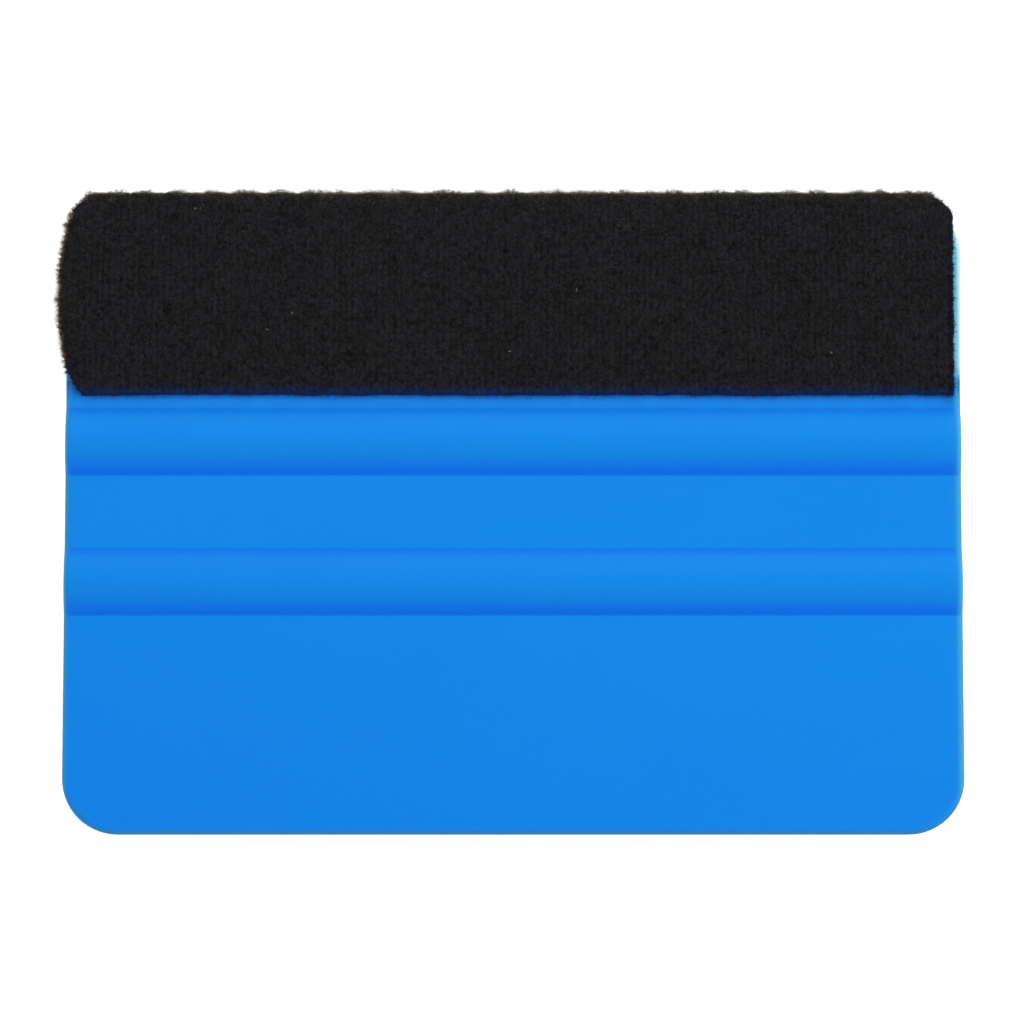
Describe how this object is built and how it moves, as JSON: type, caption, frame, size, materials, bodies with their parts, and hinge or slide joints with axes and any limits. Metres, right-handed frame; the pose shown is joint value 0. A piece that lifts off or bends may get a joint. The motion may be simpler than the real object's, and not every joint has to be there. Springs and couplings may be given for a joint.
{
  "type": "squeegee applicator",
  "caption": "Rectangular plastic hand squeegee card with rounded corners, finger ribs across both faces and a felt strip folded over its tapered working edge.",
  "frame": {"origin": "middle of the base: the point under the middle of the outline, in the plane that the card lies on when it rests flat on its back ribs", "axes": "+X along the felted working edge, +Y from the back edge towards the working edge, +Z out of the front face"},
  "size_m": [0.101, 0.0718, 0.005],
  "materials": {
    "blade_plastic": "satin injection-moulded polypropylene, bright blue, slightly translucent",
    "adhesive": "clear amber double-sided acrylic film",
    "felt": "brushed black knitted felt"
  },
  "bodies": {
    "root": {"blade": "blade_plastic", "adhesive_film": "adhesive", "felt_strip": "felt"}
  },
  "joints": []
}
